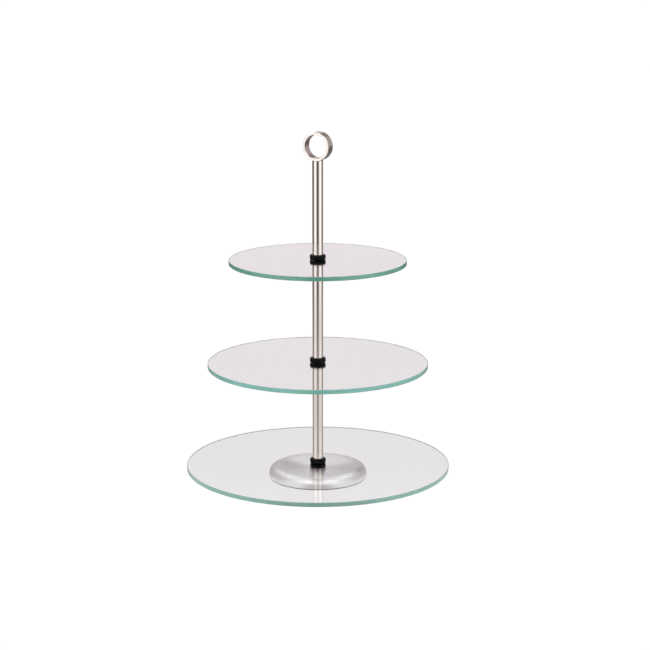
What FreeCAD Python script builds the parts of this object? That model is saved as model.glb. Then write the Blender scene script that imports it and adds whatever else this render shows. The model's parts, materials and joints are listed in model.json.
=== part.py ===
import FreeCAD, Part
import math
import os

# A tiered cake stand: three round glass plates on a screwed steel post, with a low spun base
# below and a ring handle on top. Millimetres, +Z up, origin under the middle of the base,
# on the surface that the stand rests on. The handle's ring runs along Y.

# Plates, from the bottom up
TIERS = ("bottom", "middle", "top")
PLATE_RADIUS = {"bottom": 150.0, "middle": 125.0, "top": 100.0}
PLATE_THICKNESS = 5.0
PLATE_HOLE_RADIUS = 5.5
PLATE_ARRIS = 0.5

# Rubber bushes, one below and one above each plate
BUSH_RADIUS = 9.0
BUSH_THICKNESS = 5.3
BUSH_ROUNDING = 0.8
BUSH_BORE_RADIUS = 3.3
SPIGOT_RADIUS = 5.2
SPIGOT_LENGTH = 2.35
SPIGOT_ROUNDING = 0.3

# Post sections, from the bottom up
POSTS = ("lower", "middle", "upper")
POST_LENGTH = {"lower": 103.2, "middle": 103.2, "upper": 106.9}
POST_RADIUS = 6.0
POST_WALL = 1.0
POST_CHAMFER = 0.3
INSERT_LENGTH = 14.0
INSERT_MOUTH = 0.5

# Thread, M6 with a 1 mm pitch
THREAD_RADIUS = 3.0
THREAD_CLEARANCE = 0.05
THREAD_LEAD = 0.6
STUD_LENGTH = 40.0

# Base shell, spun from sheet, with a dished top
BASE_RADIUS = 56.0
BASE_CROWN_HEIGHT = 13.0
BASE_SHOULDER_RADIUS = 9.0
BASE_SHEET = 1.0
DISH_SEAT_HEIGHT = 9.5
DISH_SEAT_RADIUS = 15.0
DISH_RIM_RADIUS = 40.0
DISH_SEAT_BLEND = 60.0
DISH_RIM_BLEND = 40.0

# Rubber ring round the base's lower edge
FOOT_LIP_HEIGHT = 1.2
FOOT_HEIGHT = 4.0
FOOT_INNER_RADIUS = 52.4
FOOT_OUTER_RADIUS = 55.6
FOOT_ROUNDING = 0.4

# Fasteners in the base
STIFFENER_THICKNESS = 1.3
STIFFENER_RADIUS = 34.0
WASHER_THICKNESS = 1.6
FLAT_WASHER_RADIUS = 6.0
SPRING_WASHER_RADIUS = 5.9
WASHER_BORE_RADIUS = 3.2
SPRING_WASHER_SPLIT = 1.0
SPRING_WASHER_LEAN = 20.0
BOLT_LENGTH = 30.0
BOLT_HEAD_RADIUS = 5.25
BOLT_HEAD_HEIGHT = 3.3
BOLT_HEAD_ROUNDING = 2.6
BOLT_SOCKET_ACROSS_FLATS = 4.0
BOLT_SOCKET_DEPTH = 1.9
NUT_ACROSS_FLATS = 10.0
NUT_HEIGHT = 3.2
NUT_CHAMFER_START = 0.96
NUT_CHAMFER_ANGLE = 30.0
NUT_ROOM_RADIUS = 6.0
NUT_ROOM_HEIGHT = 3.4

# Ring handle
RING_OUTER_RADIUS = 16.0
RING_INNER_RADIUS = 13.25
RING_LENGTH = 12.0
RING_CHAMFER = 0.3
RING_SEAT = 0.8
HANDLE_STUD_LENGTH = 12.0
HANDLE_STUD_IN_RING = 1.5

# Heights that follow from the sizes above
PLATE_CLAMP = 2 * BUSH_THICKNESS + PLATE_THICKNESS
BOLT_SEAT = DISH_SEAT_HEIGHT - BASE_SHEET - STIFFENER_THICKNESS - 2 * WASHER_THICKNESS
BOLT_TIP = BOLT_SEAT + BOLT_LENGTH
THREAD_ENGAGEMENT = BOLT_TIP - DISH_SEAT_HEIGHT - PLATE_CLAMP

UP = FreeCAD.Vector(0, 0, 1)
CENTRE = FreeCAD.Vector(0, 0, 0)


def section_point(radius, height):
    """A point of a turned piece's section, which lies in the XZ plane."""
    return FreeCAD.Vector(radius, 0, height)


def rounded_edges(corners, closed):
    """Edges through corners (radius, height, rounding), with an arc at each rounded corner."""
    count = len(corners)
    path = []
    for i, (radius, height, rounding) in enumerate(corners):
        corner = section_point(radius, height)
        is_end = not closed and i in (0, count - 1)
        if rounding == 0 or is_end:
            path.append((corner, None, corner))
            continue
        before = (section_point(*corners[i - 1][:2]) - corner).normalize()
        after = (section_point(*corners[(i + 1) % count][:2]) - corner).normalize()
        half_angle = before.getAngle(after) / 2
        setback = rounding / math.tan(half_angle)
        to_centre = (before + after).normalize()
        middle = corner + to_centre * (rounding / math.sin(half_angle) - rounding)
        path.append((corner + before * setback, middle, corner + after * setback))
    edges = []
    for i, (start, middle, end) in enumerate(path):
        if middle is not None:
            edges.append(Part.Arc(start, middle, end).toShape())
        last = i == count - 1
        if last and not closed:
            break
        following = path[(i + 1) % count][0]
        edges.append(Part.LineSegment(end, following).toShape())
    return edges


def turned(corners):
    """A solid turned about Z from a closed section of corners (radius, height, rounding)."""
    section = Part.Face(Part.Wire(rounded_edges(corners, closed=True)))
    return section.revolve(CENTRE, UP, 360)


def parallel_path(corners, distance):
    """An open path at a constant distance to the right of another, with its roundings concentric."""
    points = [FreeCAD.Vector(radius, height, 0) for radius, height, _ in corners]
    runs = [(b - a).normalize() for a, b in zip(points, points[1:])]
    rights = [FreeCAD.Vector(run.y, -run.x, 0) for run in runs]
    shifted = []
    for i, (point, corner) in enumerate(zip(points, corners)):
        before = rights[max(i - 1, 0)]
        after = rights[min(i, len(rights) - 1)]
        offset = (before + after) * (distance / (1 + before.dot(after)))
        rounding = corner[2]
        if rounding:
            turns_right = before.cross(after).z < 0
            rounding += -distance if turns_right else distance
        shifted.append((point.x + offset.x, point.y + offset.y, rounding))
    return shifted


def skin(path, thickness, depth=0.0):
    """A turned sheet of constant thickness that starts at a depth below an outer path."""
    outside = parallel_path(path, depth)
    inside = parallel_path(path, depth + thickness)
    return turned(outside + inside[::-1])


def hexagon(across_flats, height, bottom):
    """A hexagonal prism about Z."""
    corner_radius = across_flats / math.sqrt(3)
    angles = [math.radians(60 * i) for i in range(7)]
    points = [FreeCAD.Vector(corner_radius * math.cos(a), corner_radius * math.sin(a), bottom)
              for a in angles]
    return Part.Face(Part.makePolygon(points)).extrude(UP * height)


def circular_edges(solid):
    """The solid's edges that are full circles."""
    return [e for e in solid.Edges if e.isClosed() and isinstance(e.Curve, Part.Circle)]


def plate(radius, bottom):
    """A round glass plate with a hole in the middle and a small arris on every edge."""
    glass = Part.makeCylinder(radius, PLATE_THICKNESS, section_point(0, bottom))
    hole = Part.makeCylinder(PLATE_HOLE_RADIUS, PLATE_THICKNESS, section_point(0, bottom))
    drilled = glass.cut(hole)
    return drilled.makeChamfer(PLATE_ARRIS, circular_edges(drilled))


def bush(seat, outward, room_for_nut=False):
    """A flanged rubber bush. seat is the height of the glass face, and outward is 1 above the
    plate or -1 below it: the flange goes that way and the spigot the other, into the hole."""
    far = seat + outward * BUSH_THICKNESS
    spigot_end = seat - outward * SPIGOT_LENGTH
    corners = [
        (BUSH_RADIUS, far, BUSH_ROUNDING),
        (BUSH_RADIUS, seat, BUSH_ROUNDING),
        (SPIGOT_RADIUS, seat, 0),
        (SPIGOT_RADIUS, spigot_end, SPIGOT_ROUNDING),
        (BUSH_BORE_RADIUS, spigot_end, 0),
    ]
    if room_for_nut:
        room_end = far - outward * NUT_ROOM_HEIGHT
        corners += [(BUSH_BORE_RADIUS, room_end, 0), (NUT_ROOM_RADIUS, room_end, 0),
                    (NUT_ROOM_RADIUS, far, 0)]
    else:
        corners.append((BUSH_BORE_RADIUS, far, 0))
    return turned(corners)


def post_tube(bottom, top):
    """A post section's tube, with its outer edges broken."""
    bore = POST_RADIUS - POST_WALL
    return turned([
        (bore, bottom, 0),
        (POST_RADIUS - POST_CHAMFER, bottom, 0),
        (POST_RADIUS, bottom + POST_CHAMFER, 0),
        (POST_RADIUS, top - POST_CHAMFER, 0),
        (POST_RADIUS - POST_CHAMFER, top, 0),
        (bore, top, 0),
    ])


def insert(bottom, bore_radius, mouth_at_bottom):
    """A threaded insert pressed into the end of a tube, with a countersunk mouth."""
    top = bottom + INSERT_LENGTH
    outer = POST_RADIUS - POST_WALL
    wide = bore_radius + INSERT_MOUTH
    if mouth_at_bottom:
        inner = [(bore_radius, top, 0), (bore_radius, bottom + INSERT_MOUTH, 0), (wide, bottom, 0)]
    else:
        inner = [(wide, top, 0), (bore_radius, top - INSERT_MOUTH, 0), (bore_radius, bottom, 0)]
    return turned([(outer, bottom, 0), (outer, top, 0)] + inner)


def stud(bottom, length):
    """A threaded stud with a lead at both ends."""
    top = bottom + length
    return turned([
        (0, bottom, 0),
        (THREAD_RADIUS - THREAD_LEAD, bottom, 0),
        (THREAD_RADIUS, bottom + THREAD_LEAD, 0),
        (THREAD_RADIUS, top - THREAD_LEAD, 0),
        (THREAD_RADIUS - THREAD_LEAD, top, 0),
        (0, top, 0),
    ])


def base_shell():
    """The spun cover: flat seat, shallow dish, crown, round shoulder and a short upright wall."""
    path = [
        (THREAD_RADIUS, DISH_SEAT_HEIGHT, 0),
        (DISH_SEAT_RADIUS, DISH_SEAT_HEIGHT, DISH_SEAT_BLEND),
        (DISH_RIM_RADIUS, BASE_CROWN_HEIGHT, DISH_RIM_BLEND),
        (BASE_RADIUS, BASE_CROWN_HEIGHT, BASE_SHOULDER_RADIUS),
        (BASE_RADIUS, FOOT_LIP_HEIGHT, 0),
    ]
    return skin(path, BASE_SHEET)


def base_stiffener():
    """A pressed disc that backs the shell's seat and dish from inside."""
    slope = (BASE_CROWN_HEIGHT - DISH_SEAT_HEIGHT) / (DISH_RIM_RADIUS - DISH_SEAT_RADIUS)
    rim_height = DISH_SEAT_HEIGHT + slope * (STIFFENER_RADIUS - DISH_SEAT_RADIUS)
    path = [
        (THREAD_RADIUS, DISH_SEAT_HEIGHT, 0),
        (DISH_SEAT_RADIUS, DISH_SEAT_HEIGHT, DISH_SEAT_BLEND),
        (STIFFENER_RADIUS, rim_height, 0),
    ]
    return skin(path, STIFFENER_THICKNESS, depth=BASE_SHEET)


def foot_ring():
    """The rubber ring under the shell's edge, with a lip that stands inside its wall."""
    wall_inside = BASE_RADIUS - BASE_SHEET
    return turned([
        (FOOT_INNER_RADIUS, 0, FOOT_ROUNDING),
        (FOOT_OUTER_RADIUS, 0, FOOT_ROUNDING),
        (FOOT_OUTER_RADIUS, FOOT_LIP_HEIGHT, 0),
        (wall_inside, FOOT_LIP_HEIGHT, 0),
        (wall_inside, FOOT_HEIGHT, 0),
        (FOOT_INNER_RADIUS, FOOT_HEIGHT, FOOT_ROUNDING),
    ])


def flat_washer(bottom):
    """A plain round washer."""
    top = bottom + WASHER_THICKNESS
    return turned([
        (WASHER_BORE_RADIUS, bottom, 0),
        (FLAT_WASHER_RADIUS, bottom, 0),
        (FLAT_WASHER_RADIUS, top, 0),
        (WASHER_BORE_RADIUS, top, 0),
    ])


def spring_washer(bottom):
    """A split spring washer, pressed flat."""
    top = bottom + WASHER_THICKNESS
    ring = turned([
        (WASHER_BORE_RADIUS, bottom, 0),
        (SPRING_WASHER_RADIUS, bottom, 0),
        (SPRING_WASHER_RADIUS, top, 0),
        (WASHER_BORE_RADIUS, top, 0),
    ])
    reach = 2 * SPRING_WASHER_RADIUS
    corner = FreeCAD.Vector(0, -SPRING_WASHER_SPLIT / 2, bottom - WASHER_THICKNESS)
    split = Part.makeBox(reach, SPRING_WASHER_SPLIT, 3 * WASHER_THICKNESS, corner)
    middle = FreeCAD.Vector(0, 0, bottom + WASHER_THICKNESS / 2)
    split.rotate(middle, FreeCAD.Vector(1, 0, 0), SPRING_WASHER_LEAN)
    return ring.cut(split)


def base_bolt():
    """The button-head bolt that stands up through the base and carries the lower post."""
    head_bottom = BOLT_SEAT - BOLT_HEAD_HEIGHT
    blank = turned([
        (0, head_bottom, 0),
        (BOLT_HEAD_RADIUS, head_bottom, BOLT_HEAD_ROUNDING),
        (BOLT_HEAD_RADIUS, BOLT_SEAT, 0),
        (THREAD_RADIUS, BOLT_SEAT, 0),
        (THREAD_RADIUS, BOLT_TIP - THREAD_LEAD, 0),
        (THREAD_RADIUS - THREAD_LEAD, BOLT_TIP, 0),
        (0, BOLT_TIP, 0),
    ])
    return blank.cut(hexagon(BOLT_SOCKET_ACROSS_FLATS, BOLT_SOCKET_DEPTH, head_bottom))


def base_nut():
    """The thin nut that locks the bolt to the base, inside the lowest bush."""
    top = DISH_SEAT_HEIGHT + NUT_HEIGHT
    bore = Part.makeCylinder(THREAD_RADIUS, NUT_HEIGHT, section_point(0, DISH_SEAT_HEIGHT))
    blank = hexagon(NUT_ACROSS_FLATS, NUT_HEIGHT, DISH_SEAT_HEIGHT)
    # a cone each way takes the sharp corners off the hexagon
    flat_radius = NUT_ACROSS_FLATS / 2 * NUT_CHAMFER_START
    full_radius = NUT_ACROSS_FLATS / math.sqrt(3)
    chamfer = (full_radius - flat_radius) * math.tan(math.radians(NUT_CHAMFER_ANGLE))
    envelope = turned([
        (0, DISH_SEAT_HEIGHT, 0),
        (flat_radius, DISH_SEAT_HEIGHT, 0),
        (full_radius, DISH_SEAT_HEIGHT + chamfer, 0),
        (full_radius, top - chamfer, 0),
        (flat_radius, top, 0),
        (0, top, 0),
    ])
    return blank.common(envelope).cut(bore)


def ring_cylinder(radius, centre_height, length):
    """A cylinder about the handle ring's axis, which runs along Y."""
    start = FreeCAD.Vector(0, -length / 2, centre_height)
    return Part.makeCylinder(radius, length, start, FreeCAD.Vector(0, 1, 0))


def handle_ring(centre_height, stud_hole):
    """The ring handle, a short length of tube with a blind hole for its stud."""
    outer = ring_cylinder(RING_OUTER_RADIUS, centre_height, RING_LENGTH)
    inner = ring_cylinder(RING_INNER_RADIUS, centre_height, RING_LENGTH)
    ring = outer.cut(inner)
    ring = ring.makeChamfer(RING_CHAMFER, circular_edges(ring))
    return ring.cut(stud_hole)


def build():
    """Every piece of the stand, by name."""
    pieces = {
        "foot_ring": foot_ring(),
        "base_shell": base_shell(),
        "base_stiffener": base_stiffener(),
        "base_flat_washer": flat_washer(BOLT_SEAT + WASHER_THICKNESS),
        "base_spring_washer": spring_washer(BOLT_SEAT),
        "base_bolt": base_bolt(),
        "base_nut": base_nut(),
    }

    running_bore = THREAD_RADIUS + THREAD_CLEARANCE
    post_top = DISH_SEAT_HEIGHT
    for tier, post in zip(TIERS, POSTS):
        glass_bottom = post_top + BUSH_THICKNESS
        glass_top = glass_bottom + PLATE_THICKNESS
        pieces[f"{tier}_lower_bush"] = bush(glass_bottom, -1, room_for_nut=(tier == TIERS[0]))
        pieces[f"{tier}_plate"] = plate(PLATE_RADIUS[tier], glass_bottom)
        pieces[f"{tier}_upper_bush"] = bush(glass_top, 1)

        post_bottom = glass_top + BUSH_THICKNESS
        post_top = post_bottom + POST_LENGTH[post]
        pieces[f"{post}_post_tube"] = post_tube(post_bottom, post_top)
        pieces[f"{post}_post_bottom_insert"] = insert(post_bottom, running_bore, True)
        pieces[f"{post}_post_top_insert"] = insert(post_top - INSERT_LENGTH, THREAD_RADIUS, False)
        if post != POSTS[-1]:
            stud_top = post_top + PLATE_CLAMP + THREAD_ENGAGEMENT
            pieces[f"{post}_post_stud"] = stud(stud_top - STUD_LENGTH, STUD_LENGTH)

    ring_centre = post_top - RING_SEAT + RING_OUTER_RADIUS
    saddle = ring_cylinder(RING_OUTER_RADIUS, ring_centre, 2 * RING_OUTER_RADIUS)
    for name in ("upper_post_tube", "upper_post_top_insert"):
        pieces[name] = pieces[name].cut(saddle)
    stud_top = post_top - RING_SEAT + HANDLE_STUD_IN_RING
    handle_stud = stud(stud_top - HANDLE_STUD_LENGTH, HANDLE_STUD_LENGTH)
    pieces["handle_stud"] = handle_stud
    pieces["handle_ring"] = handle_ring(ring_centre, handle_stud)
    return pieces


def main():
    os.makedirs("parts", exist_ok=True)
    for name, shape in build().items():
        solids = shape.Solids
        if len(solids) != 1 or not solids[0].isValid() or solids[0].Volume <= 0:
            raise ValueError(f"{name} is not one valid solid")
        solids[0].exportStep(f"parts/{name}.step")
        box = solids[0].optimalBoundingBox(False)
        print(f"{name}: {box.XLength:.2f} x {box.YLength:.2f} mm, z {box.ZMin:.2f} to {box.ZMax:.2f}")


main()
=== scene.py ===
import json
import math

import bmesh
import bpy
from bpy.props import FloatProperty, FloatVectorProperty, IntProperty, PointerProperty
from bpy.types import Operator, Panel, PropertyGroup
from mathutils import Matrix, Vector


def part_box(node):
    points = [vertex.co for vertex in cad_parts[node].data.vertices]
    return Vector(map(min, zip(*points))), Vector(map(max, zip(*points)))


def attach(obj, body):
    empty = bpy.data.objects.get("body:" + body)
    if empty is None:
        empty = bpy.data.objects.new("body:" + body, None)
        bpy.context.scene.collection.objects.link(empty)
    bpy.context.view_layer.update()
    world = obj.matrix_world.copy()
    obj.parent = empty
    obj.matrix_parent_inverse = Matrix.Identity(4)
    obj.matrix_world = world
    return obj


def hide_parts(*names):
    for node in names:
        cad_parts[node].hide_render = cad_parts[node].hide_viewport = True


bl_info = {
    "name": "Tiered Cake Stand",
    "version": (1, 0, 0),
    "blender": (4, 5, 0),
    "location": "3D View > Sidebar > Cake Stand",
    "description": "Builds the looks of a three-tier glass cake stand round its fixed frame",
    "category": "Object",
}

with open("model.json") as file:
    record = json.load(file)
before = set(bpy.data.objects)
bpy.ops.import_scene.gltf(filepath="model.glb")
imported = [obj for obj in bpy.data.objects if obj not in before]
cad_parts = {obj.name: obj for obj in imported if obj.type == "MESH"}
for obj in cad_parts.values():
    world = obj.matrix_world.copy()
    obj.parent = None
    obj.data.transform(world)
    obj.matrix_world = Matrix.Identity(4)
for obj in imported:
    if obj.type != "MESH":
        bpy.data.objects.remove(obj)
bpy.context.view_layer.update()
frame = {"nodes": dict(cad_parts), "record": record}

MM = 0.001
TIERS = ("bottom", "middle", "top")
POSTS = ("lower", "middle", "upper")
BODY_OF = {
    node: body
    for body, members in frame["record"]["behaviour"]["bodies"].items()
    for node in members
}


# ---------------------------------------------------------------- node trees


class Value:
    """An output socket. Arithmetic on it adds Math nodes to its tree."""

    def __init__(self, nodes, socket):
        self.nodes = nodes
        self.socket = socket

    def math(self, operation, *values):
        return self.nodes.add("ShaderNodeMath", {"operation": operation}, dict(enumerate(values)))

    def other(self, name):
        """Another output of the same node."""
        return Value(self.nodes, self.nodes.pick(self.socket.node.outputs, name))

    def __add__(self, value):
        return self.math("ADD", self, value)

    def __sub__(self, value):
        return self.math("SUBTRACT", self, value)

    def __rsub__(self, value):
        return self.math("SUBTRACT", value, self)

    def __mul__(self, value):
        return self.math("MULTIPLY", self, value)

    def __truediv__(self, value):
        return self.math("DIVIDE", self, value)

    def __lt__(self, value):
        return self.math("LESS_THAN", self, value)

    def __abs__(self):
        return self.math("ABSOLUTE", self)

    __radd__ = __add__
    __rmul__ = __mul__

    def clamped(self):
        return self.math("MINIMUM", self.math("MAXIMUM", self, 0), 1)

    def blend(self, other, share):
        """This value where share is zero, and the other where it is one."""
        return self + (other - self) * share

    def rise(self, start, width):
        """Zero up to start, and one from start + width."""
        return ((self - start) / width).clamped()

    def fall(self, end, width):
        """One up to end - width, and zero from end."""
        return ((end - self) / width).clamped()


class Nodes:
    """Adds nodes to one tree."""

    def __init__(self, tree):
        self.tree = tree

    @staticmethod
    def pick(sockets, key):
        enabled = [s for s in sockets if s.enabled]
        if isinstance(key, int):
            return enabled[key]
        return next(s for s in enabled if s.name == key)

    def add(self, kind, settings=None, sockets=None, output=0):
        """Adds a node, gives it its settings and then its sockets, and returns an output."""
        node = self.tree.nodes.new(kind)
        for name, value in (settings or {}).items():
            if name == "stops":
                self.fill_ramp(node.color_ramp, value)
            else:
                setattr(node, name, value)
        for key, value in (sockets or {}).items():
            socket = self.pick(node.inputs, key)
            if isinstance(value, Value):
                self.tree.links.new(value.socket, socket)
            elif socket.type == "RGBA" and len(value) == 3:
                socket.default_value = (*value, 1)
            else:
                socket.default_value = value
        if node.outputs:
            return Value(self, self.pick(node.outputs, output))

    @staticmethod
    def fill_ramp(ramp, stops):
        """Sets a colour ramp's stops, each (position, grey level or colour)."""
        for i, (position, level) in enumerate(stops):
            element = ramp.elements[i] if i < 2 else ramp.elements.new(position)
            element.position = position
            element.color = (*level, 1) if hasattr(level, "__len__") else (level, level, level, 1)

    def mix(self, factor, low, high):
        """A colour between two."""
        return self.add("ShaderNodeMix", {"data_type": "RGBA"}, {"Factor": factor, "A": low, "B": high})

    def vector(self, x, y, z):
        return self.add("ShaderNodeCombineXYZ", None, {"X": x, "Y": y, "Z": z})

    def noise(self, vector, scale, detail=2.0, roughness=0.5):
        sockets = {"Vector": vector, "Scale": scale, "Detail": detail, "Roughness": roughness}
        return self.add("ShaderNodeTexNoise", None, sockets, "Fac")

    def bump(self, height, strength, distance):
        return self.add("ShaderNodeBump", None,
                        {"Height": height, "Strength": strength, "Distance": distance})


def geometry_tree(name, inputs, build):
    """The Geometry Nodes tree of that name, with named inputs. It is built on first use."""
    found = bpy.data.node_groups.get(name)
    if found:
        return found
    tree = bpy.data.node_groups.new(name, "GeometryNodeTree")
    tree.interface.new_socket("Geometry", in_out="INPUT", socket_type="NodeSocketGeometry")
    for label, kind in inputs.items():
        tree.interface.new_socket(label, in_out="INPUT", socket_type="NodeSocket" + kind)
    tree.interface.new_socket("Geometry", in_out="OUTPUT", socket_type="NodeSocketGeometry")
    nodes = Nodes(tree)
    group = nodes.add("NodeGroupInput", output="Geometry")
    given = {label: group.other(label) for label in inputs}
    nodes.add("NodeGroupOutput", None, {"Geometry": build(nodes, group, given)})
    return tree


def finished(nodes, geometry, given):
    """The last nodes of every tree: no instances, and a material on all faces."""
    smooth = nodes.add("GeometryNodeSetShadeSmooth", None, {"Geometry": geometry})
    real = nodes.add("GeometryNodeRealizeInstances", None, {"Geometry": smooth})
    return nodes.add("GeometryNodeSetMaterial", None,
                     {"Geometry": real, "Material": given["Material"]})


# ---------------------------------------------------------------- turned pieces

# The circle that a section is swept round, from which its radii are counted
LATHE_CIRCLE = 1 * MM
WELD_DISTANCE = 0.002 * MM
# How close to a rounding a straight run has its extra point
SUPPORT = 0.04 * MM
ARC_STEP = math.radians(10)
ARC_FEWEST = 4
THREAD_ROWS = 14
# Any pitch but nought, for the pieces that have no thread
UNUSED_PITCH = 1.0
# A groove's walls: how steep they are, and how much of the pitch the crest keeps
FLANK_STEEPNESS = 1.3
CREST_SHARE = 0.15

TURNED_INPUTS = {
    "Segments": "Int",
    "Thread Radius": "Float",
    "Thread Depth": "Float",
    "Thread Pitch": "Float",
    "Thread Start": "Float",
    "Thread End": "Float",
    "Material": "Material",
}


def turned_nodes(nodes, group, given):
    """Turns a section drawn as (radius, height) in XY about Z, and cuts a thread in it."""
    section = nodes.add("GeometryNodeTransform", None, {
        "Geometry": group, "Translation": (-LATHE_CIRCLE, 0, 0), "Scale": (1, -1, 1)})
    section = nodes.add("GeometryNodeMeshToCurve", None, {"Mesh": section})
    circle = nodes.add("GeometryNodeCurvePrimitiveCircle", None,
                       {"Resolution": given["Segments"], "Radius": LATHE_CIRCLE})
    circle = nodes.add("GeometryNodeSetCurveNormal", {"mode": "Z_UP"}, {"Curve": circle})
    skin = nodes.add("GeometryNodeCurveToMesh", None, {"Curve": circle, "Profile Curve": section})
    skin = nodes.add("GeometryNodeMergeByDistance", None,
                     {"Geometry": skin, "Distance": WELD_DISTANCE})

    position = nodes.add("GeometryNodeInputPosition")
    x = nodes.add("ShaderNodeSeparateXYZ", None, {"Vector": position}, "X")
    y, z = x.other("Y"), x.other("Z")
    radius = x.math("SQRT", x * x + y * y)
    turn = x.math("ARCTAN2", y, x) / math.tau
    pitch = given["Thread Pitch"]
    flank = abs(x.math("FRACT", z / pitch - turn) * 2 - 1)
    groove = (flank * FLANK_STEEPNESS - CREST_SHARE).clamped()
    run_in = ((z - given["Thread Start"]) / pitch).clamped()
    run_out = ((given["Thread End"] - z) / pitch).clamped()
    depth = given["Thread Depth"] * groove * run_in * run_out
    scale = (radius - depth) / x.math("MAXIMUM", radius, LATHE_CIRCLE)
    on_thread = abs(radius - given["Thread Radius"]) < WELD_DISTANCE
    threaded = nodes.add("GeometryNodeSetPosition", None, {
        "Geometry": skin, "Selection": on_thread, "Position": nodes.vector(x * scale, y * scale, z)})
    return finished(nodes, threaded, given)


def outline(corners, closed=True):
    """Points through corners (radius, height, rounding), with an arc at each rounded corner
    and a point close beside it on each straight run, which keeps the flat faces flat."""
    spots = [Vector(corner[:2]) for corner in corners]
    count = len(corners)
    arms = []
    for i, spot in enumerate(spots):
        before = spots[i - 1] - spot
        after = spots[(i + 1) % count] - spot
        rounding = corners[i][2]
        if rounding == 0 or (not closed and i in (0, count - 1)):
            arms.append((before.normalized(), after.normalized(), 0))
            continue
        half_angle = before.angle(after) / 2
        arms.append((before.normalized(), after.normalized(), rounding / math.tan(half_angle)))

    points = []
    for i, (spot, (before, after, setback)) in enumerate(zip(spots, arms)):
        if setback == 0:
            points.append(spot)
            continue
        centre = spot + (before + after).normalized() * math.hypot(corners[i][2], setback)
        start = spot + before * setback - centre
        end = spot + after * setback - centre
        turn = start.angle(end)
        steps = max(ARC_FEWEST, math.ceil(turn / ARC_STEP))
        run_before = (spots[i - 1] - spot).length - setback - arms[i - 1][2]
        run_after = (spots[(i + 1) % count] - spot).length - setback - arms[(i + 1) % count][2]
        if run_before > 3 * SUPPORT:
            points.append(spot + before * (setback + SUPPORT))
        for step in range(steps + 1):
            angle = turn * step / steps
            arc = start * math.sin(turn - angle) + end * math.sin(angle)
            points.append(centre + arc / math.sin(turn))
        if run_after > 3 * SUPPORT:
            points.append(spot + after * (setback + SUPPORT))
    return [tuple(point) for point in points]


def threaded_run(radius, start, end, pitch):
    """Corners along a threaded stretch, close enough together to carry the thread."""
    rows = math.ceil(abs(end - start) / pitch * THREAD_ROWS)
    return [(radius, start + (end - start) * i / rows, 0) for i in range(rows + 1)]


def parallel_path(corners, distance):
    """An open path at a constant distance to the right of another, with concentric roundings."""
    spots = [Vector(corner[:2]) for corner in corners]
    runs = [(b - a).normalized() for a, b in zip(spots, spots[1:])]
    rights = [Vector((run.y, -run.x)) for run in runs]
    shifted = []
    for i, (spot, corner) in enumerate(zip(spots, corners)):
        before = rights[max(i - 1, 0)]
        after = rights[min(i, len(rights) - 1)]
        moved = spot + (before + after) * (distance / (1 + before.dot(after)))
        rounding = corner[2]
        if rounding:
            rounding += -distance if before.cross(after) < 0 else distance
        shifted.append((moved.x, moved.y, rounding))
    return shifted


def sheet_section(path, thickness, edge):
    """The closed section of a sheet of constant thickness, with softened ends."""
    inside = parallel_path(path, thickness)
    corners = path + inside[::-1]
    for i in (len(path) - 1, len(path)):
        radius, height, _ = corners[i]
        corners[i] = (radius, height, edge)
    return outline(corners)


def linked(name, data):
    """A new object in the scene."""
    made = bpy.data.objects.new(name, data)
    bpy.context.scene.collection.objects.link(made)
    return made


def drawn(name, points, closed=True):
    """An object whose mesh is one line through the points (radius, height), in XY."""
    count = len(points)
    mesh = bpy.data.meshes.new(name)
    edges = [(i, (i + 1) % count) for i in range(count if closed else count - 1)]
    mesh.from_pydata([(radius, height, 0) for radius, height in points], edges, [])
    return linked(name, mesh)


def bake(piece):
    """Turns an object's modifiers into a plain mesh, welded, with its faces outwards."""
    bpy.context.view_layer.update()
    depsgraph = bpy.context.evaluated_depsgraph_get()
    mesh = bpy.data.meshes.new_from_object(
        piece.evaluated_get(depsgraph), preserve_all_data_layers=True, depsgraph=depsgraph)
    piece.modifiers.clear()
    before = piece.data
    piece.data = mesh
    bpy.data.meshes.remove(before)
    mesh.name = piece.name
    if not mesh.polygons:
        raise RuntimeError(f"{piece.name} has no faces")
    work = bmesh.new()
    work.from_mesh(mesh)
    bmesh.ops.remove_doubles(work, verts=work.verts, dist=WELD_DISTANCE)
    bmesh.ops.recalc_face_normals(work, faces=work.faces)
    work.to_mesh(mesh)
    work.free()
    return piece


def apply_tree(piece, tree, inputs):
    """Gives a piece a Geometry Nodes tree with these inputs, by their names."""
    modifier = piece.modifiers.new(tree.name, "NODES")
    modifier.node_group = tree
    for item in tree.interface.items_tree:
        if item.in_out == "INPUT" and item.name in inputs:
            modifier[item.identifier] = inputs[item.name]
    return modifier


def turned(name, points, skin, segments, thread=None):
    """A piece turned about Z. Its section is closed, unless it starts and ends on the axis.
    thread is (radius, depth, pitch, start, end)."""
    piece = drawn(name, points, closed=points[0][0] > 0)
    inputs = {"Segments": segments, "Material": skin, "Thread Pitch": UNUSED_PITCH}
    if thread:
        labels = ("Radius", "Depth", "Pitch", "Start", "End")
        inputs.update({f"Thread {label}": value for label, value in zip(labels, thread)})
    apply_tree(piece, geometry_tree("Turned piece", TURNED_INPUTS, turned_nodes), inputs)
    return bake(piece)


def place(piece, node):
    """The piece stands for a CAD node and moves with that node's body."""
    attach(piece, BODY_OF[node])
    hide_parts(node)


def extent(node):
    """A turned CAD node's outer radius, lowest and highest height."""
    low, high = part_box(node)
    return high.x, low.z, high.z


# ---------------------------------------------------------------- materials

# Patterns, in noise cells a metre
STEEL_CLOUDS = 60.0
PLATING_CLOUDS = 220.0
PLATING_GRAIN = 2600.0
RUBBER_BLOOM = 140.0
RUBBER_GRAIN = 3000.0
WIPING_MARKS = 18.0
# Patterns that run round an axis, in cells a metre along it and cells round it
FINE_BRUSHING = (5200, 2.2)
BROAD_BRUSHING = (700, 1.1)
EDGE_DEPTHS = (300, 9)
EDGE_POLISHING = (900, 260)

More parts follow.
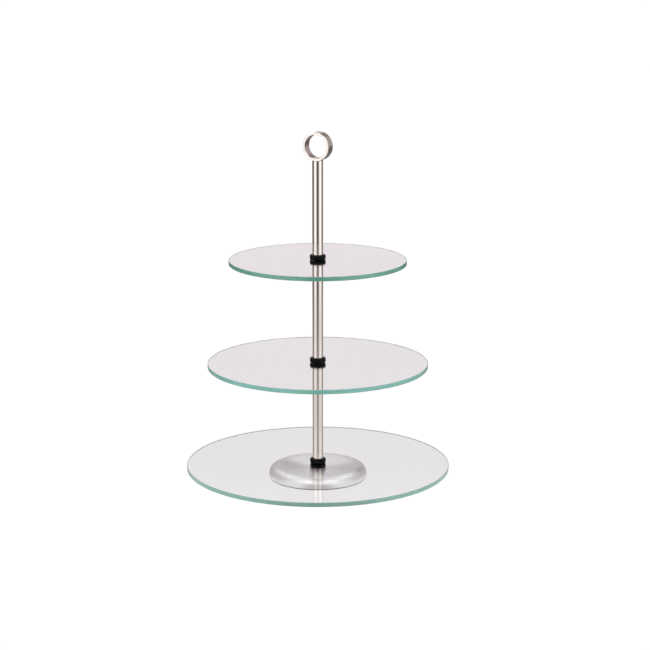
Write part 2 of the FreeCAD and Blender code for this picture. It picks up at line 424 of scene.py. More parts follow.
GRAIN_DEPTH = 0.03 * MM
POLISH_DEPTH = 0.02 * MM
GLASS_IOR = 1.52
EDGE_TRANSMISSION = 0.25
RUBBER_SPECULAR = 0.10
# Where the arris begins on a plate's edge, from nought at mid-height to one at the face
ARRIS_STOPS = [(0.77, 0.0), (0.84, 1.0)]
# A quarter turn lays the highlight across marks that run round the axis
ACROSS_MARKS = 0.25
# Keeps a distance from an axis above nought, to divide by it
ON_AXIS = 1e-6


def emptied(owner):
    """The nodes of a material or a world, once there are none left."""
    owner.use_nodes = True
    owner.node_tree.nodes.clear()
    return Nodes(owner.node_tree)


def material(name, build, *details):
    """The material of that name, built on first use."""
    found = bpy.data.materials.get(name)
    if found:
        return found
    made = bpy.data.materials.new(name)
    nodes = emptied(made)
    nodes.add("ShaderNodeOutputMaterial", None, {"Surface": build(nodes, *details)})
    return made


def object_xyz(nodes):
    """The three Object coordinates."""
    coordinates = nodes.add("ShaderNodeTexCoord", output="Object")
    x = nodes.add("ShaderNodeSeparateXYZ", None, {"Vector": coordinates}, "X")
    return x, x.other("Y"), x.other("Z")


def around(a, b):
    """The distance from an axis that a and b cross, and the direction from it."""
    radius = a.math("SQRT", a * a + b * b) + ON_AXIS
    return radius, (a / radius, b / radius)


def ring_marks(nodes, direction, along, fineness, detail=2.0, roughness=0.5):
    """Noise drawn out round an axis. fineness is its cells a metre along it, and round it."""
    along_axis, round_it = fineness
    a, b = direction
    spot = nodes.vector(a * round_it, b * round_it, along * along_axis)
    return nodes.noise(spot, 1.0, detail, roughness)


def varied(base, *patterns):
    """A value changed by patterns, each (noise, widest change)."""
    for noise, amount in patterns:
        base = base + (noise - 0.5) * amount
    return base


def brushed_steel_shader(nodes, colour, axis_y_height, roughness, anisotropy):
    """Steel with fine marks round its axis: Z, or a level axis along Y at a given height."""
    x, y, z = object_xyz(nodes)
    if axis_y_height is None:
        radius, direction = around(x, y)
        along = z
    else:
        radius, direction = around(x, z - axis_y_height)
        along = y
    fine = ring_marks(nodes, direction, along + radius, FINE_BRUSHING, 3.0, 0.6)
    broad = ring_marks(nodes, direction, along + radius, BROAD_BRUSHING)
    cloud = nodes.noise(nodes.vector(x, y, z), STEEL_CLOUDS)
    dark = [c * 0.94 for c in colour]
    bright = [min(1.0, c * 1.05) for c in colour]
    return nodes.add("ShaderNodeBsdfPrincipled", None, {
        "Base Color": nodes.mix((fine * 0.5 + broad * 0.5).clamped(), dark, bright),
        "Metallic": 1.0,
        "Roughness": varied(roughness, (fine, 0.06), (broad, 0.05), (cloud, 0.04)),
        "Anisotropic": anisotropy,
        "Anisotropic Rotation": ACROSS_MARKS,
        "Normal": nodes.bump(fine * 0.6 + broad * 0.4, 0.06, GRAIN_DEPTH),
    })


def plated_steel_shader(nodes, finish):
    """Bright zinc plating with faint clouds and tumbling marks."""
    x, y, z = object_xyz(nodes)
    spot = nodes.vector(x, y, z)
    cloud = nodes.noise(spot, PLATING_CLOUDS, 3.0)
    grain = nodes.noise(spot, PLATING_GRAIN)
    dark = [c * 0.82 for c in finish.plating_colour]
    return nodes.add("ShaderNodeBsdfPrincipled", None, {
        "Base Color": nodes.mix(cloud, dark, finish.plating_colour),
        "Metallic": 1.0,
        "Roughness": varied(finish.plating_roughness, (cloud, 0.14), (grain, 0.08)),
        "Normal": nodes.bump(grain, 0.15, GRAIN_DEPTH),
    })


def rubber_shader(nodes, finish):
    """Moulded black rubber: a fine satin skin with a faint bloom."""
    x, y, z = object_xyz(nodes)
    spot = nodes.vector(x, y, z)
    grain = nodes.noise(spot, RUBBER_GRAIN, 3.0, 0.6)
    bloom = nodes.noise(spot, RUBBER_BLOOM, 3.0, 0.6)
    pale = [c * 2.0 for c in finish.rubber_colour]
    return nodes.add("ShaderNodeBsdfPrincipled", None, {
        "Base Color": nodes.mix(bloom * bloom, finish.rubber_colour, pale),
        "Roughness": varied(finish.rubber_roughness, (bloom, 0.2), (grain, 0.1)),
        "Specular IOR Level": RUBBER_SPECULAR,
        "Normal": nodes.bump(grain, 0.25, GRAIN_DEPTH),
    })


def glass_shader(nodes, finish):
    """Clear float glass, clean but for faint wiping marks."""
    x, y, z = object_xyz(nodes)
    spot = nodes.vector(x, y, z)
    wiped = nodes.noise(spot, WIPING_MARKS, 4.0, 0.6)
    haze = (wiped - 0.5).clamped()
    dull = [c * 0.995 for c in finish.glass_colour]
    return nodes.add("ShaderNodeBsdfPrincipled", None, {
        "Base Color": nodes.mix(wiped, finish.glass_colour, dull),
        "Roughness": haze * 0.04,
        "IOR": GLASS_IOR,
        "Transmission Weight": 1.0,
        "Normal": nodes.bump(wiped, 0.02, POLISH_DEPTH),
    })


def glass_edge_shader(nodes, finish, colour, bottom, top):
    """A plate's polished edge, where the glass shows its green depth. Seen from inside its plate, the
    edge takes a pale painted reflection.
    """
    x, y, z = object_xyz(nodes)
    _, direction = around(x, y)
    middle = (bottom + top) / 2
    border = abs(z - middle) / ((top - bottom) / 2)
    depth = ring_marks(nodes, direction, z, EDGE_DEPTHS)
    marks = ring_marks(nodes, direction, z, EDGE_POLISHING)
    arris = nodes.add("ShaderNodeValToRGB", {"stops": ARRIS_STOPS},
                      {"Fac": varied(border, (depth, 0.04))}, "Color")
    body = nodes.mix(depth, [c * 0.92 for c in colour], colour)
    outside = nodes.mix(arris, body, finish.arris_colour)
    # Faces seen from their back, from inside the plate, are painted pale: a painted reflection in place
    # of the edge's bright internal reflection
    inside = nodes.add("ShaderNodeNewGeometry", output="Backfacing")
    return nodes.add("ShaderNodeBsdfPrincipled", None, {
        "Base Color": nodes.mix(inside, outside, finish.edge_inside_painted_reflection),
        "Roughness": varied(finish.edge_roughness, (marks, 0.1)),
        "IOR": GLASS_IOR,
        "Transmission Weight": EDGE_TRANSMISSION,
        "Normal": nodes.bump(marks, 0.05, POLISH_DEPTH),
    })


def post_steel(finish):
    return material("post_steel", brushed_steel_shader, finish.steel_colour, None,
                    finish.steel_roughness, finish.steel_anisotropy)


def ring_steel(finish, height):
    return material("ring_steel", brushed_steel_shader, finish.steel_colour, height,
                    finish.ring_roughness, 0.0)


def spun_steel(finish):
    return material("spun_steel", brushed_steel_shader, finish.spun_colour, None,
                    finish.spun_roughness, finish.spun_anisotropy)


def plated(finish):
    return material("zinc_plating", plated_steel_shader, finish)


def rubber(finish):
    return material("moulded_rubber", rubber_shader, finish)


# ---------------------------------------------------------------- settings


def length_property(name, description, millimetres):
    return FloatProperty(name=name, description=description, default=millimetres * MM,
                         min=0.0, unit="LENGTH", subtype="DISTANCE")


def colour_property(name, description, default):
    return FloatVectorProperty(name=name, description=description, default=default,
                               min=0.0, max=1.0, size=3, subtype="COLOR")


def angle_property(name, description, degrees):
    return FloatProperty(name=name, description=description, default=math.radians(degrees),
                         subtype="ANGLE")


def share_property(name, description, default):
    return FloatProperty(name=name, description=description, default=default,
                         min=0.0, max=1.0, subtype="FACTOR")


class StandShape(PropertyGroup):
    """Sizes that the frame's boxes don't give."""

    plate_hole_radius: length_property("Plate hole", "Radius of the hole in each plate", 5.5)
    plate_arris: length_property("Plate arris", "Width of the flat ground on a plate's edges", 0.5)
    plate_softening: length_property("Arris softening", "Rounding of the arris's own edges", 0.06)
    bush_rounding: length_property("Bush rounding", "Rounding of a bush's flange", 1.2)
    bush_bore_radius: length_property("Bush bore", "Radius of a bush's bore", 3.3)
    spigot_radius: length_property("Spigot radius", "Radius of the spigot inside the plate's hole", 5.2)
    spigot_length: length_property("Spigot length", "How far a spigot enters the plate", 2.35)
    nut_room_radius: length_property("Nut room", "Radius of the lowest bush's room for the nut", 6.0)
    nut_room_height: length_property("Nut room height", "Height of that room", 3.4)
    post_wall: length_property("Post wall", "Wall of the post's tubes", 1.0)
    tube_chamfer: length_property("Tube chamfer", "Chamfer at the ends of a tube or the ring", 0.3)
    thread_radius: length_property("Thread radius", "Outer radius of the M6 thread", 3.0)
    thread_pitch: length_property("Thread pitch", "Rise of the thread in one turn", 1.0)
    thread_depth: length_property("Thread depth", "Depth of the thread's groove", 0.55)
    thread_lead: length_property("Thread lead", "Chamfer at a stud's ends", 0.6)
    thread_clearance: length_property("Thread clearance", "Gap round a stud in an insert", 0.05)
    insert_mouth: length_property("Insert mouth", "Chamfer of an insert's bore", 0.5)
    insert_groove: length_property("Insert groove", "Depth of the groove in an insert's bore", 0.35)
    bolt_head_height: length_property("Bolt head", "Height of the bolt's button head", 3.3)
    bolt_head_rounding: length_property("Bolt head rounding", "Rounding of the button head", 2.6)
    bolt_shank: length_property("Bolt shank", "Plain length between the head and the thread", 2.0)
    socket_width: length_property("Socket", "Width of the hex socket across its flats", 4.0)
    socket_depth: length_property("Socket depth", "Depth of the hex socket", 1.9)
    bolt_hole_radius: length_property("Bolt hole", "Radius of the base's hole for the bolt", 3.1)
    washer_bore_radius: length_property("Washer bore", "Radius of the flat washer's hole", 3.2)
    sheet: length_property("Base sheet", "Thickness of the base's steel sheet", 1.0)
    shoulder_radius: length_property("Base shoulder", "Rounding between the base's top and wall", 9.0)
    dish_seat_radius: length_property("Dish seat", "Where the base's flat seat turns up", 15.0)
    dish_seat_blend: length_property("Dish seat blend", "Rounding at the seat", 60.0)
    dish_rim_radius: length_property("Dish rim", "Where the base's dish turns level again", 40.0)
    dish_rim_blend: length_property("Dish rim blend", "Rounding at the dish's rim", 40.0)
    stiffener_radius: length_property("Stiffener", "Radius of the stiffening disc", 34.0)
    stiffener_thickness: length_property("Stiffener sheet", "Thickness of the stiffening disc", 1.28)
    foot_inner_radius: length_property("Foot ring", "Inner radius of the rubber ring", 52.4)
    foot_groove: length_property("Foot groove", "Depth of the grooves under the rubber ring", 0.35)
    ring_bore_radius: length_property("Ring bore", "Inner radius of the ring handle", 13.25)
    segments: IntProperty(name="Segments", description="Faces round a large turned piece",
                          default=256, min=32)
    small_segments: IntProperty(name="Small segments", description="Faces round a post or fastener",
                                default=96, min=24)


class StandFinish(PropertyGroup):
    """Colours and finishes."""

    glass_colour: colour_property("Glass", "Tint of the plates' faces", (0.964, 0.967, 0.966))
    top_edge_colour: colour_property("Top edge", "Tint of the top plate's edge", (0.12, 0.345, 0.27))
    middle_edge_colour: colour_property("Middle edge", "Tint of the middle plate's edge",
                                        (0.20, 0.51, 0.44))
    bottom_edge_colour: colour_property("Bottom edge", "Tint of the bottom plate's edge",
                                        (0.25, 0.47, 0.42))
    arris_colour: colour_property("Arris", "Tint of the plates' arrises", (0.30, 0.50, 0.45))
    # A painted reflection: the pale colour an edge gets where it is seen from inside its plate, not a
    # tint of the glass
    edge_inside_painted_reflection: colour_property("Edge from inside", "Tint of an edge seen through its plate",
                                        (0.90, 0.95, 0.94))
    steel_colour: colour_property("Steel", "Brushed steel", (0.70, 0.64, 0.61))
    edge_roughness: share_property("Edge roughness", "Roughness of the plates' edges", 0.18)
    steel_roughness: share_property("Post roughness", "Roughness of the post's tubes", 0.14)
    steel_anisotropy: share_property("Post brushing", "How far brushing stretches highlights", 0.75)
    ring_roughness: share_property("Ring roughness", "Roughness of the ring handle", 0.22)
    spun_colour: colour_property("Base steel", "Spun steel of the base", (0.94, 0.95, 0.95))
    spun_roughness: share_property("Base roughness", "Roughness of the spun base", 0.34)
    spun_anisotropy: share_property("Base brushing", "How far spinning marks stretch highlights", 0.85)
    plating_colour: colour_property("Plating", "Zinc plating", (0.62, 0.62, 0.60))
    plating_roughness: share_property("Plating roughness", "Roughness of zinc plating", 0.26)
    rubber_colour: colour_property("Rubber", "Black rubber", (0.0012, 0.0012, 0.0018))
    rubber_roughness: share_property("Rubber roughness", "Roughness of black rubber", 0.38)


class StandStage(PropertyGroup):
    """The light table, the studio round it and the camera."""

    table_radius: length_property("Table radius", "Radius of the white table", 1050.0)
    camera_azimuth: angle_property("Camera azimuth", "Turn of the camera round the stand", 26.0)
    camera_pitch: angle_property("Camera pitch", "How far the camera looks down", 12.95)
    camera_yaw: angle_property("Camera yaw", "How far the camera looks past the post", 0.214)
    camera_distance: length_property("Camera distance", "Level distance from the post", 2185.0)
    camera_height: length_property("Camera height", "Height above the table", 684.0)
    dim_colour: colour_property("Dim studio", "Tint of the studio's dim parts", (1.0, 0.80, 0.76))
    backdrop_colour: colour_property("Backdrop", "Tint of the wall behind the stand", (1.0, 0.88, 0.95))
    lens: FloatProperty(name="Lens", description="Focal length in millimetres",
                        default=109.8, min=10.0)


# ---------------------------------------------------------------- studio

# How bright the studio is in each level direction, in degrees from the camera's side, to the
# right as positive: a dim front, a soft box on each side of it, and dark flags further round.
STUDIO = (
    (-180, 0.15), (-160, 0.08), (-110, 0.05), (-100, 0.12), (-90, 0.45), (-80, 1.20), (-72, 1.55),
    (-40, 1.45), (-28, 1.00), (-20, 0.35), (-12, 0.07), (10, 0.06), (20, 0.35), (30, 1.00),
    (42, 1.45), (75, 1.55), (85, 1.10), (94, 0.42), (108, 0.34), (125, 0.40), (132, 0.03),
    (165, 0.03), (180, 0.15),
)
STUDIO_BRIGHTEST = 1.6
# What is seen straight, also through clear glass, is just over full white
WHITE_LEVEL = 1.02

# The rest of the studio. A direction has three parts: up, sideways and near, which is towards
# the camera. Each pair is where a soft edge begins or, in an END, is over, and its width.
HAZE_UP = (-0.11, 0.06)
HAZE_LEVEL = 0.5
WALL_NEAR_END = (-0.88, 0.06)
WALL_UP = (0.15, 0.03)
WALL_LEVEL = 0.74
WALL_LEVEL_UP = 0.19
WALL_FALL = 2.4
WALL_DARKEST = 0.46
CEILING_UP = (0.30, 0.2)
CEILING_LEVEL = 1.35
CEILING_SIDES = (0.42, 0.2)
CEILING_SIDES_LOSS = 0.8
ZENITH_UP = (0.8, 0.1)
ZENITH_LOSS = 0.7
BOXES_SIDEWAYS = (0.08, 0.06)
BOXES_SIDEWAYS_END = (0.74, 0.06)
BOXES_UP = (0.42, 0.08)
BOXES_NEAR = (-0.5, 0.1)
BOXES_LEVEL = 1.05
PANEL_AZIMUTH = math.radians(157)
PANEL_ELEVATION = math.radians(23)
PANEL_EDGE = (0.971, 0.01)
PANEL_LOSS = 0.85

# The table's light in a mirror: at the post, and what it loses in a metre
TABLE_LEVEL = 0.55
TABLE_FALL = 0.45
TABLE_SIDES = 128

SENSOR_WIDTH = 36.0
GLASS_BOUNCES = 24
MIRROR_BOUNCES = 12
WHITE = (1.0, 1.0, 1.0)


def camera_parts(x, y, azimuth):
    """How far a direction points towards the camera, and to its right."""
    near = x * math.sin(azimuth) - y * math.cos(azimuth)
    right = x * math.cos(azimuth) + y * math.sin(azimuth)
    return near, right


def level_round(nodes, near, right):
    """The studio's brightness in a level direction."""
    turn = near.math("ARCTAN2", right, near) / math.tau + 0.5
    stops = [(degrees / 360 + 0.5, level / STUDIO_BRIGHTEST) for degrees, level in STUDIO]
    ramp = nodes.add("ShaderNodeValToRGB", {"stops": stops}, {"Fac": turn}, "Color")
    return nodes.add("ShaderNodeRGBToBW", None, {"Color": ramp}) * STUDIO_BRIGHTEST


def dark_panel(x, y, z, camera_azimuth):
    """One inside a round dark panel on the far side, and zero outside it."""
    azimuth, out = camera_azimuth + PANEL_AZIMUTH, math.cos(PANEL_ELEVATION)
    aim = (out * math.sin(azimuth), -out * math.cos(azimuth), math.sin(PANEL_ELEVATION))
    return (x * aim[0] + y * aim[1] + z * aim[2]).rise(*PANEL_EDGE)


def straight_path(nodes):
    """One where nothing but clear glass lies between the camera and the point, else zero."""
    glossy = nodes.add("ShaderNodeLightPath", output="Glossy Depth")
    return (glossy < 0.5) * (glossy.other("Diffuse Depth") < 0.5)


def studio_colour(nodes, level, stage):
    """Dim parts of the studio are warm."""
    return nodes.mix(level.clamped(), stage.dim_colour, WHITE)


def table_shader(nodes, stage):
    """A white light table, clear from below. Mirrored, it shows the studio's falling light."""
    x, y, z = object_xyz(nodes)
    reach = x.math("SQRT", x * x + y * y)
    near, right = camera_parts(x, y, stage.camera_azimuth)
    level = x.math("MINIMUM", level_round(nodes, near, right), 1.0)
    mirrored = level.blend(1.0, (TABLE_LEVEL - reach * TABLE_FALL).clamped())
    straight = straight_path(nodes)
    glow = nodes.add("ShaderNodeEmission", None, {
        "Color": nodes.mix(straight, studio_colour(nodes, mirrored, stage), WHITE),
        "Strength": mirrored.blend(WHITE_LEVEL, straight)})
    clear = nodes.add("ShaderNodeBsdfTransparent")
    back = nodes.add("ShaderNodeNewGeometry", output="Backfacing")
    return nodes.add("ShaderNodeMixShader", None, {"Fac": back, 1: glow, 2: clear})


def world_shader(nodes, stage):
    """The studio all round: its sides, far wall, ceiling, overhead boxes and dark panel."""
    coordinates = nodes.add("ShaderNodeTexCoord", output="Generated")
    x = nodes.add("ShaderNodeSeparateXYZ", None, {"Vector": coordinates}, "X")
    y, z = x.other("Y"), x.other("Z")
    near, right = camera_parts(x, y, stage.camera_azimuth)
    sideways = abs(right)
    level = z.math("MAXIMUM", level_round(nodes, near, right), z.rise(*HAZE_UP) * HAZE_LEVEL)
    behind = near.fall(*WALL_NEAR_END) * z.rise(*WALL_UP)
    wall = z.math("MAXIMUM", WALL_LEVEL - (z - WALL_LEVEL_UP) * WALL_FALL, WALL_DARKEST)
    level = level.blend(wall, behind)
    ceiling = CEILING_LEVEL - sideways.rise(*CEILING_SIDES) * CEILING_SIDES_LOSS
    ceiling = ceiling * (1 - z.rise(*ZENITH_UP) * ZENITH_LOSS)
    level = level.blend(ceiling, z.rise(*CEILING_UP))
    boxes = sideways.rise(*BOXES_SIDEWAYS) * sideways.fall(*BOXES_SIDEWAYS_END)
    boxes = boxes * z.rise(*BOXES_UP) * near.rise(*BOXES_NEAR)
    level = level + boxes * BOXES_LEVEL
    level = level * (1 - dark_panel(x, y, z, stage.camera_azimuth) * PANEL_LOSS)
    colour = nodes.mix(behind, studio_colour(nodes, level, stage), stage.backdrop_colour)
    straight = straight_path(nodes)
    return nodes.add("ShaderNodeBackground", None, {
        "Color": nodes.mix(straight, colour, WHITE),
        "Strength": level.blend(WHITE_LEVEL, straight)})


def make_table(stage):
    mesh = bpy.data.meshes.new("light_table")
    disc = bmesh.new()
    bmesh.ops.create_circle(disc, cap_ends=True, segments=TABLE_SIDES, radius=stage.table_radius)
    disc.to_mesh(mesh)
    disc.free()
    mesh.materials.append(material("light_table", table_shader, stage))
    linked("light_table", mesh)


def make_world(scene, stage):
    scene.world = bpy.data.worlds.new("studio")
    nodes = emptied(scene.world)
    nodes.add("ShaderNodeOutputWorld", None, {"Surface": world_shader(nodes, stage)})


def make_camera(scene, stage):
    azimuth, distance = stage.camera_azimuth, stage.camera_distance
    camera = linked("camera", bpy.data.cameras.new("camera"))
    camera.location = (distance * math.sin(azimuth), -distance * math.cos(azimuth),
                       stage.camera_height)
    camera.rotation_euler = (math.pi / 2 - stage.camera_pitch, 0, azimuth - stage.camera_yaw)
    camera.data.lens = stage.lens
    camera.data.sensor_width = SENSOR_WIDTH
    scene.camera = camera


# ---------------------------------------------------------------- operators

# Roundings of small edges
CRISP_EDGE = 0.05 * MM
TURNED_EDGE = 0.1 * MM
HEAD_EDGE = 0.15 * MM
BORE_EDGE = 0.2 * MM
PRESSED_EDGE = 0.25 * MM
MOULDED_EDGE = 0.3 * MM
FOOT_EDGE = 0.4 * MM
# Keeps two pieces that are pressed together from sharing a face
PRESSED_GAP = 0.01 * MM
FOOT_GROOVES = 3


def settings(context):
    return context.scene.stand_shape, context.scene.stand_finish


def evenly_rounded(spots, rounding):
    """An outline whose corners all have one rounding."""
    return outline([(*spot, rounding) for spot in spots])


class STAND_OT_plates(Operator):
    """Makes the three glass plates"""

    bl_idname = "stand.plates"
    bl_label = "Glass plates"

    def execute(self, context):
        shape, finish = settings(context)
        face = material("clear_float_glass", glass_shader, finish)
        for tier in TIERS:
            node = f"{tier}_plate"
            radius, bottom, top = extent(node)
            colour = getattr(finish, f"{tier}_edge_colour")
            edge = material(f"{tier}_glass_edge", glass_edge_shader, finish, colour, bottom, top)
            hole, arris, soft = shape.plate_hole_radius, shape.plate_arris, shape.plate_softening
            points = evenly_rounded([
                (hole + arris, bottom), (radius - arris, bottom),
                (radius, bottom + arris), (radius, top - arris),
                (radius - arris, top), (hole + arris, top),
                (hole, top - arris), (hole, bottom + arris),
            ], soft)
            piece = turned(f"{node}_glass", points, face, shape.segments)
            piece.data.materials.append(edge)
            for polygon in piece.data.polygons:
                if polygon.center.xy.length > radius - arris:
                    polygon.material_index = 1
            place(piece, node)
        return {"FINISHED"}


class STAND_OT_bushes(Operator):
    """Makes the rubber bushes below and above each plate"""

    bl_idname = "stand.bushes"
    bl_label = "Rubber bushes"

    def execute(self, context):
        shape, finish = settings(context)
        for tier in TIERS:
            glass_low, glass_high = (corner.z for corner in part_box(f"{tier}_plate"))
            for side, seat, outward in (("lower", glass_low, -1), ("upper", glass_high, 1)):
                node = f"{tier}_{side}_bush"
                radius, bottom, top = extent(node)
                far = top if outward > 0 else bottom
                end = seat - outward * shape.spigot_length
                bore = shape.bush_bore_radius
                corners = [
                    (radius, far, shape.bush_rounding),
                    (radius, seat, shape.bush_rounding),
                    (shape.spigot_radius, seat, TURNED_EDGE),
                    (shape.spigot_radius, end, MOULDED_EDGE),
                    (bore, end, BORE_EDGE),
                ]
                if node == "bottom_lower_bush":
                    room, room_end = shape.nut_room_radius, far + shape.nut_room_height
                    corners += [(bore, room_end, TURNED_EDGE), (room, room_end, TURNED_EDGE),
                                (room, far, BORE_EDGE)]
                else:
                    corners.append((bore, far, BORE_EDGE))
                piece = turned(f"{node}_rubber", outline(corners), rubber(finish), shape.small_segments)
                place(piece, node)
        return {"FINISHED"}


class STAND_OT_post_tubes(Operator):
    """Makes the three tubes of the post"""

    bl_idname = "stand.post_tubes"
    bl_label = "Post tubes"

    def execute(self, context):
        shape, finish = settings(context)
        ring_low, ring_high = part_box("handle_ring")
        ring_radius = (ring_high.z - ring_low.z) / 2
        ring_height = (ring_high.z + ring_low.z) / 2
        for post in POSTS:
            node = f"{post}_post_tube"
            radius, bottom, top = extent(node)
            bore, chamfer = radius - shape.post_wall, shape.tube_chamfer
            points = evenly_rounded([
                (bore, bottom), (radius - chamfer, bottom), (radius, bottom + chamfer),
                (radius, top - chamfer), (radius - chamfer, top), (bore, top),
            ], CRISP_EDGE)
            piece = turned(f"{node}_steel", points, post_steel(finish), shape.small_segments)
            # The end under the ring follows its curve, as a saddle does
            for vertex in piece.data.vertices:
                saddle = ring_height - math.sqrt(ring_radius ** 2 - vertex.co.x ** 2)
                if vertex.co.z > (bottom + top) / 2:
                    vertex.co.z -= max(0.0, top - saddle)
            place(piece, node)
        return {"FINISHED"}


class STAND_OT_inserts(Operator):
    """Makes the threaded inserts in the tubes' ends"""

    bl_idname = "stand.inserts"
    bl_label = "Threaded inserts"

    def execute(self, context):
        shape, finish = settings(context)
        pitch, mouth = shape.thread_pitch, shape.insert_mouth
        bore = shape.thread_radius + shape.thread_clearance
        for post in POSTS:
            for side in ("bottom", "top"):
                node = f"{post}_post_{side}_insert"
                if node == "upper_post_top_insert":
                    continue
                radius, bottom, top = extent(node)
                radius -= PRESSED_GAP
                run = threaded_run(bore, top - mouth, bottom + mouth, pitch)
                points = outline([(bore + mouth, bottom, 0), (radius, bottom, TURNED_EDGE),
                                  (radius, top, TURNED_EDGE), (bore + mouth, top, 0)] + run)
                thread = (bore, -shape.insert_groove, pitch, bottom + mouth, top - mouth)
                piece = turned(f"{node}_thread", points, plated(finish), shape.small_segments, thread)
                place(piece, node)
        return {"FINISHED"}


class STAND_OT_studs(Operator):
    """Makes the threaded studs and the base's bolt"""

    bl_idname = "stand.studs"
    bl_label = "Studs and bolt"

    def execute(self, context):
        shape, finish = settings(context)
        radius, pitch, depth = shape.thread_radius, shape.thread_pitch, shape.thread_depth
        lead = shape.thread_lead
        for post in POSTS[:2]:
            node = f"{post}_post_stud"
            _, bottom, top = extent(node)
            run = threaded_run(radius, bottom + lead, top - lead, pitch)
            points = outline([(0, bottom, 0), (radius - lead, bottom, 0)] + run
                             + [(radius - lead, top, 0), (0, top, 0)])
            thread = (radius, depth, pitch, bottom + lead / 2, top - lead / 2)
            piece = turned(f"{node}_thread", points, plated(finish), shape.small_segments, thread)
            place(piece, node)

        head_radius, bottom, top = extent("base_bolt")
        seat = bottom + shape.bolt_head_height
        thread_start = seat + shape.bolt_shank
        run = threaded_run(radius, thread_start, top - lead, pitch)
        head = [(0, bottom, 0), (head_radius, bottom, shape.bolt_head_rounding),
                (head_radius, seat, HEAD_EDGE), (radius, seat, 0)]
        points = outline(head + run + [(radius - lead, top, 0), (0, top, 0)])
        thread = (radius, depth, pitch, thread_start, top - lead / 2)
        bolt = turned("base_bolt_thread", points, plated(finish), shape.small_segments, thread)
        socket = linked("hex_socket", bpy.data.meshes.new("hex_socket"))
        corner_radius = shape.socket_width / math.sqrt(3)
        prism = bmesh.new()
        bmesh.ops.create_cone(prism, cap_ends=True, segments=6, radius1=corner_radius,
                              radius2=corner_radius, depth=2 * shape.socket_depth,
                              matrix=Matrix.Translation((0, 0, bottom)))
        prism.to_mesh(socket.data)
        prism.free()
        cut = bolt.modifiers.new("Hex socket", "BOOLEAN")
        cut.object = socket
        bake(bolt)
        bpy.data.objects.remove(socket)
        place(bolt, "base_bolt")
        return {"FINISHED"}


def seat_path(shape):
    """The start of the base's dish: its seat round the bolt, under the lowest bush."""
    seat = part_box("bottom_lower_bush")[0].z
    return [
        (shape.bolt_hole_radius, seat, 0),
        (shape.dish_seat_radius, seat, shape.dish_seat_blend),
    ]


class STAND_OT_base_shell(Operator):
    """Makes the spun steel base"""

    bl_idname = "stand.base_shell"
    bl_label = "Base shell"

    def execute(self, context):
        shape, finish = settings(context)
        radius, bottom, crown = extent("base_shell")
        path = seat_path(shape) + [
            (shape.dish_rim_radius, crown, shape.dish_rim_blend),
            (radius, crown, shape.shoulder_radius),
            (radius, bottom, 0),
        ]
        points = sheet_section(path, shape.sheet, PRESSED_EDGE)
        piece = turned("base_shell_steel", points, spun_steel(finish), shape.segments)
        place(piece, "base_shell")
        return {"FINISHED"}


class STAND_OT_foot_ring(Operator):
    """Makes the rubber ring under the base"""

    bl_idname = "stand.foot_ring"
    bl_label = "Foot ring"

    def execute(self, context):
        shape, finish = settings(context)
        outer, bottom, top = extent("foot_ring")
        base_radius, lip, _ = extent("base_shell")
        wall = base_radius - shape.sheet
        inner, groove = shape.foot_inner_radius, shape.foot_groove
        corners = [(inner, bottom, FOOT_EDGE)]
        for i in range(1, FOOT_GROOVES + 1):
            middle = inner + (outer - inner) * i / (FOOT_GROOVES + 1)
            corners += [
                (middle - groove, bottom, TURNED_EDGE),
                (middle - groove / 2, bottom + groove, TURNED_EDGE),
                (middle + groove / 2, bottom + groove, TURNED_EDGE),
                (middle + groove, bottom, TURNED_EDGE),
            ]
        corners += [
            (outer, bottom, FOOT_EDGE),
            (outer, lip, HEAD_EDGE),
            (wall, lip, 0),
            (wall, top, MOULDED_EDGE),
            (inner, top, FOOT_EDGE),
        ]
        piece = turned("foot_ring_rubber", outline(corners), rubber(finish), shape.segments)
        place(piece, "foot_ring")
        return {"FINISHED"}


class STAND_OT_base_fasteners(Operator):
    """Makes the stiffening disc and the flat washer inside the base"""

    bl_idname = "stand.base_fasteners"
    bl_label = "Base fasteners"

    def execute(self, context):
        shape, finish = settings(context)
        path = seat_path(shape)
        turn_up, seat, _ = path[-1]
        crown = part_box("base_shell")[1].z
        slope = (crown - seat) / (shape.dish_rim_radius - turn_up)
        path.append((shape.stiffener_radius, seat + slope * (shape.stiffener_radius - turn_up), 0))
        under = parallel_path(path, shape.sheet + PRESSED_GAP)
        points = sheet_section(under, shape.stiffener_thickness, MOULDED_EDGE)
        piece = turned("base_stiffener_plate", points, plated(finish), shape.segments)
        place(piece, "base_stiffener")

        radius, bottom, top = extent("base_flat_washer")
        bore = shape.washer_bore_radius
        points = outline([(bore, bottom, TURNED_EDGE), (radius, bottom, PRESSED_EDGE),
                          (radius, top, TURNED_EDGE), (bore, top, TURNED_EDGE)])
        piece = turned("base_flat_washer_ring", points, plated(finish), shape.small_segments)
        place(piece, "base_flat_washer")
        return {"FINISHED"}


class STAND_OT_handle_ring(Operator):
    """Makes the ring handle"""

    bl_idname = "stand.handle_ring"
    bl_label = "Handle ring"

    def execute(self, context):
        shape, finish = settings(context)
        low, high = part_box("handle_ring")
        radius, height, reach = (high.z - low.z) / 2, (high.z + low.z) / 2, high.y
        inner, chamfer = shape.ring_bore_radius, shape.tube_chamfer
        points = evenly_rounded([
            (inner + chamfer, -reach), (radius - chamfer, -reach),
            (radius, -reach + chamfer), (radius, reach - chamfer),
            (radius - chamfer, reach), (inner + chamfer, reach),
            (inner, reach - chamfer), (inner, -reach + chamfer),
        ], CRISP_EDGE)
        piece = turned("handle_ring_steel", points, ring_steel(finish, height),
                       shape.small_segments * 2)
        laid_along_y = Matrix.Rotation(math.radians(90), 4, "X")
        piece.data.transform(Matrix.Translation((0, 0, height)) @ laid_along_y)
        place(piece, "handle_ring")
        return {"FINISHED"}


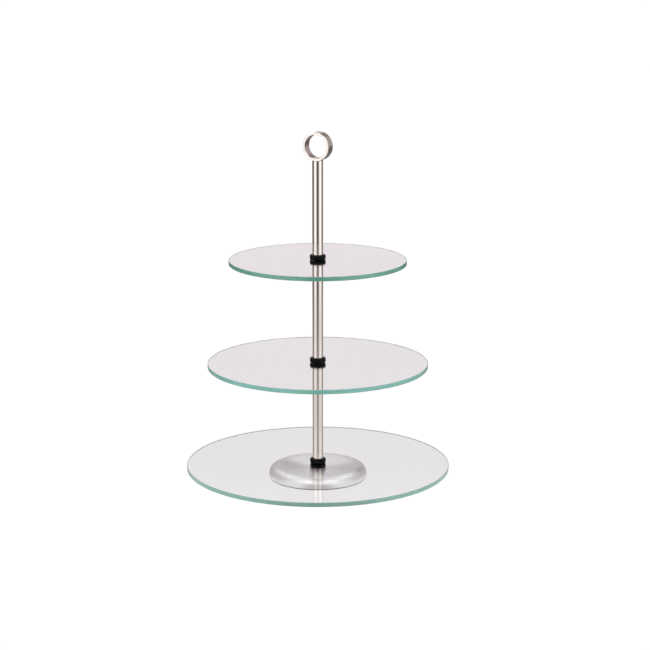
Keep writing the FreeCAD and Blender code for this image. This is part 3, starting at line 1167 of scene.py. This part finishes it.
class STAND_OT_hidden_pieces(Operator):
    """Gives the pieces that keep their plain shape their finish"""

    bl_idname = "stand.hidden_pieces"
    bl_label = "Hidden pieces"

    def execute(self, context):
        finish = context.scene.stand_finish
        for node in ("base_nut", "handle_stud", "upper_post_top_insert", "base_spring_washer"):
            mesh = frame["nodes"][node].data
            mesh.materials.clear()
            mesh.materials.append(plated(finish))
        return {"FINISHED"}


class STAND_OT_stage(Operator):
    """Makes the table, the studio light and the camera"""

    bl_idname = "stand.stage"
    bl_label = "Stage"

    def execute(self, context):
        scene, stage = context.scene, context.scene.stand_stage
        make_table(stage)
        make_world(scene, stage)
        make_camera(scene, stage)
        scene.view_settings.view_transform = "Standard"
        scene.cycles.max_bounces = GLASS_BOUNCES
        scene.cycles.transmission_bounces = GLASS_BOUNCES
        scene.cycles.glossy_bounces = MIRROR_BOUNCES
        return {"FINISHED"}


BUILDERS = (
    STAND_OT_plates,
    STAND_OT_bushes,
    STAND_OT_post_tubes,
    STAND_OT_inserts,
    STAND_OT_studs,
    STAND_OT_base_shell,
    STAND_OT_foot_ring,
    STAND_OT_base_fasteners,
    STAND_OT_handle_ring,
    STAND_OT_hidden_pieces,
    STAND_OT_stage,
)


SETTINGS = {"stand_shape": StandShape, "stand_finish": StandFinish, "stand_stage": StandStage}


class STAND_PT_sidebar(Panel):
    """Lists the stand's operators and settings"""

    bl_label = "Cake Stand"
    bl_idname = "STAND_PT_sidebar"
    bl_space_type = "VIEW_3D"
    bl_region_type = "UI"
    bl_category = "Cake Stand"

    def draw(self, context):
        column = self.layout.column(align=True)
        for builder in BUILDERS:
            column.operator(builder.bl_idname)
        for settings in SETTINGS:
            box = self.layout.box()
            group = getattr(context.scene, settings)
            for name in group.__annotations__:
                box.prop(group, name)


def register():
    for group in (*SETTINGS.values(), *BUILDERS, STAND_PT_sidebar):
        bpy.utils.register_class(group)
    for name, group in SETTINGS.items():
        setattr(bpy.types.Scene, name, PointerProperty(type=group))


def unregister():
    for name in SETTINGS:
        delattr(bpy.types.Scene, name)
    for group in reversed((*SETTINGS.values(), *BUILDERS, STAND_PT_sidebar)):
        bpy.utils.unregister_class(group)


def main():
    register()
    for builder in BUILDERS:
        group, name = builder.bl_idname.split(".")
        getattr(getattr(bpy.ops, group), name)()


if __name__ == "__main__":
    main()
